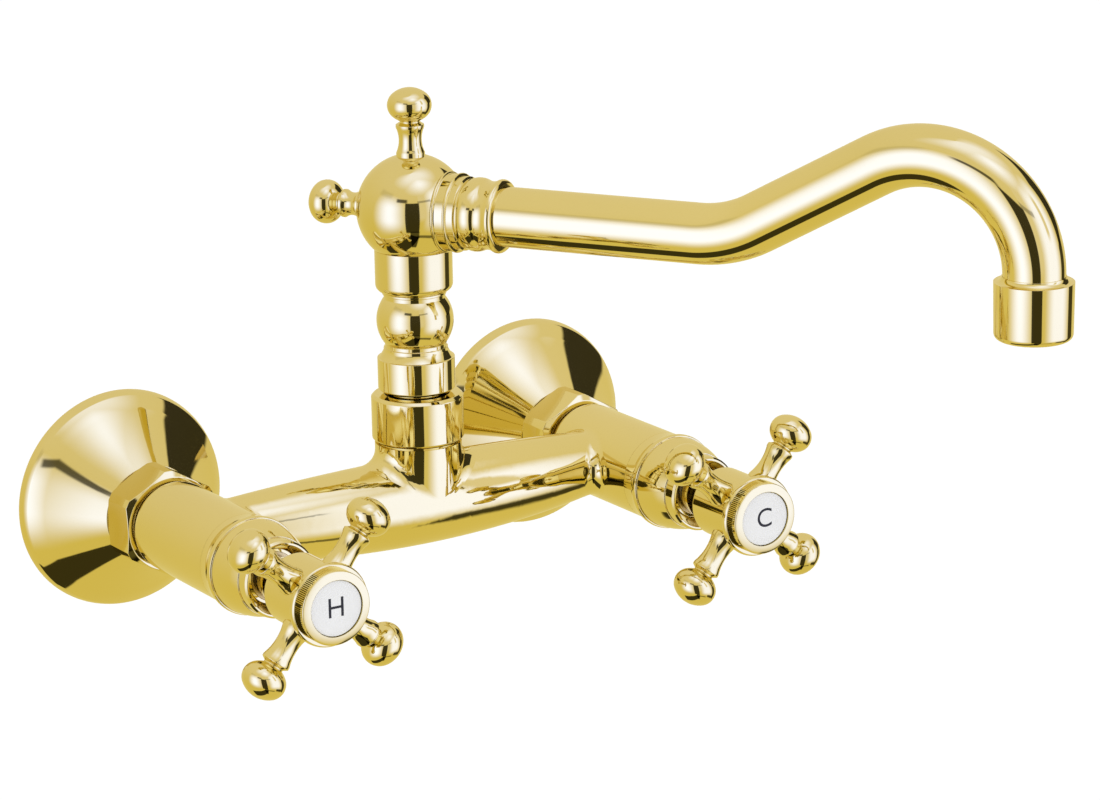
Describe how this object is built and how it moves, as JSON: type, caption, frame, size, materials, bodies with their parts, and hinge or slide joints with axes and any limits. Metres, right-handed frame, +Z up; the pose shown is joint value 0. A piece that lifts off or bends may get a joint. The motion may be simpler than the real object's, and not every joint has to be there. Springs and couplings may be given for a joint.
{
  "type": "wall-mounted mixer tap",
  "caption": "Wall-mounted mixer tap with conical rosettes, turned cross handles, a turned swivel column and a long arched spout that ends in an aerator cup.",
  "frame": {"origin": "on the wall plane, midway between the two wall threads", "axes": "+X to the right as seen from the front, +Y into the wall, +Z up"},
  "size_m": [0.2286, 0.2532, 0.165],
  "materials": {
    "polished_gold": "mirror-polished gold plating",
    "turned_brass": "turned, unplated",
    "porcelain": "glazed white porcelain",
    "alumina": "lapped ceramic",
    "black_rubber": "matt",
    "stainless_steel": "bright stainless",
    "glide_plastic": "moulded",
    "aerator_plastic": "moulded"
  },
  "bodies": {
    "tap_body": {"cold_bonnet_cover": "polished_gold", "cold_cartridge_body": "turned_brass", "cold_cartridge_gasket": "black_rubber", "cold_eccentric_union": "turned_brass", "cold_fixed_ceramic_disc": "alumina", "cold_inlet_tail": "turned_brass", "cold_rosette": "polished_gold", "cold_seat_seal": "black_rubber", "cold_union_nut": "polished_gold", "cold_union_washer": "black_rubber", "hot_bonnet_cover": "polished_gold", "hot_cartridge_body": "turned_brass", "hot_cartridge_gasket": "black_rubber", "hot_eccentric_union": "turned_brass", "hot_fixed_ceramic_disc": "alumina", "hot_inlet_tail": "turned_brass", "hot_rosette": "polished_gold", "hot_seat_seal": "black_rubber", "hot_union_nut": "polished_gold", "hot_union_washer": "black_rubber", "lower_glide_ring": "glide_plastic", "mixer_body": "polished_gold", "swivel_ring_nut": "polished_gold", "upper_glide_ring": "glide_plastic"},
    "hot_handle": {"hot_handle_hub": "polished_gold", "hot_handle_arms": "polished_gold", "hot_index_bezel": "polished_gold", "hot_index_disc": "porcelain", "hot_handle_screw": "stainless_steel", "hot_valve_spindle": "turned_brass", "hot_moving_ceramic_disc": "alumina", "hot_spindle_o_rings": "black_rubber", "hot_spindle_circlip": "stainless_steel"},
    "cold_handle": {"cold_handle_hub": "polished_gold", "cold_handle_arms": "polished_gold", "cold_index_bezel": "polished_gold", "cold_index_disc": "porcelain", "cold_handle_screw": "stainless_steel", "cold_valve_spindle": "turned_brass", "cold_moving_ceramic_disc": "alumina", "cold_spindle_o_rings": "black_rubber", "cold_spindle_circlip": "stainless_steel"},
    "spout": {"swivel_column": "polished_gold", "column_o_rings": "black_rubber", "column_snap_ring": "stainless_steel", "spout_ball": "polished_gold", "top_finial": "polished_gold", "rear_finial": "polished_gold", "spout_collar": "polished_gold", "spout_tube": "polished_gold", "outlet_cup": "polished_gold", "aerator_insert": "aerator_plastic", "aerator_washer": "black_rubber"}
  },
  "joints": [
    {"name": "hot_handle_turn", "type": "hinge", "parent": "tap_body", "child": "hot_handle", "pos_m": [-0.075, -0.1, -0.006], "axis": [0, -1, 0], "range_deg": [0, 90]},
    {"name": "cold_handle_turn", "type": "hinge", "parent": "tap_body", "child": "cold_handle", "pos_m": [0.075, -0.1, -0.006], "axis": [0, 1, 0], "range_deg": [0, 90]},
    {"name": "spout_swivel", "type": "hinge", "parent": "tap_body", "child": "spout", "pos_m": [0, -0.05822, 0.02], "axis": [0, 0, 1], "range_deg": [-122.7, 57.3]}
  ]
}
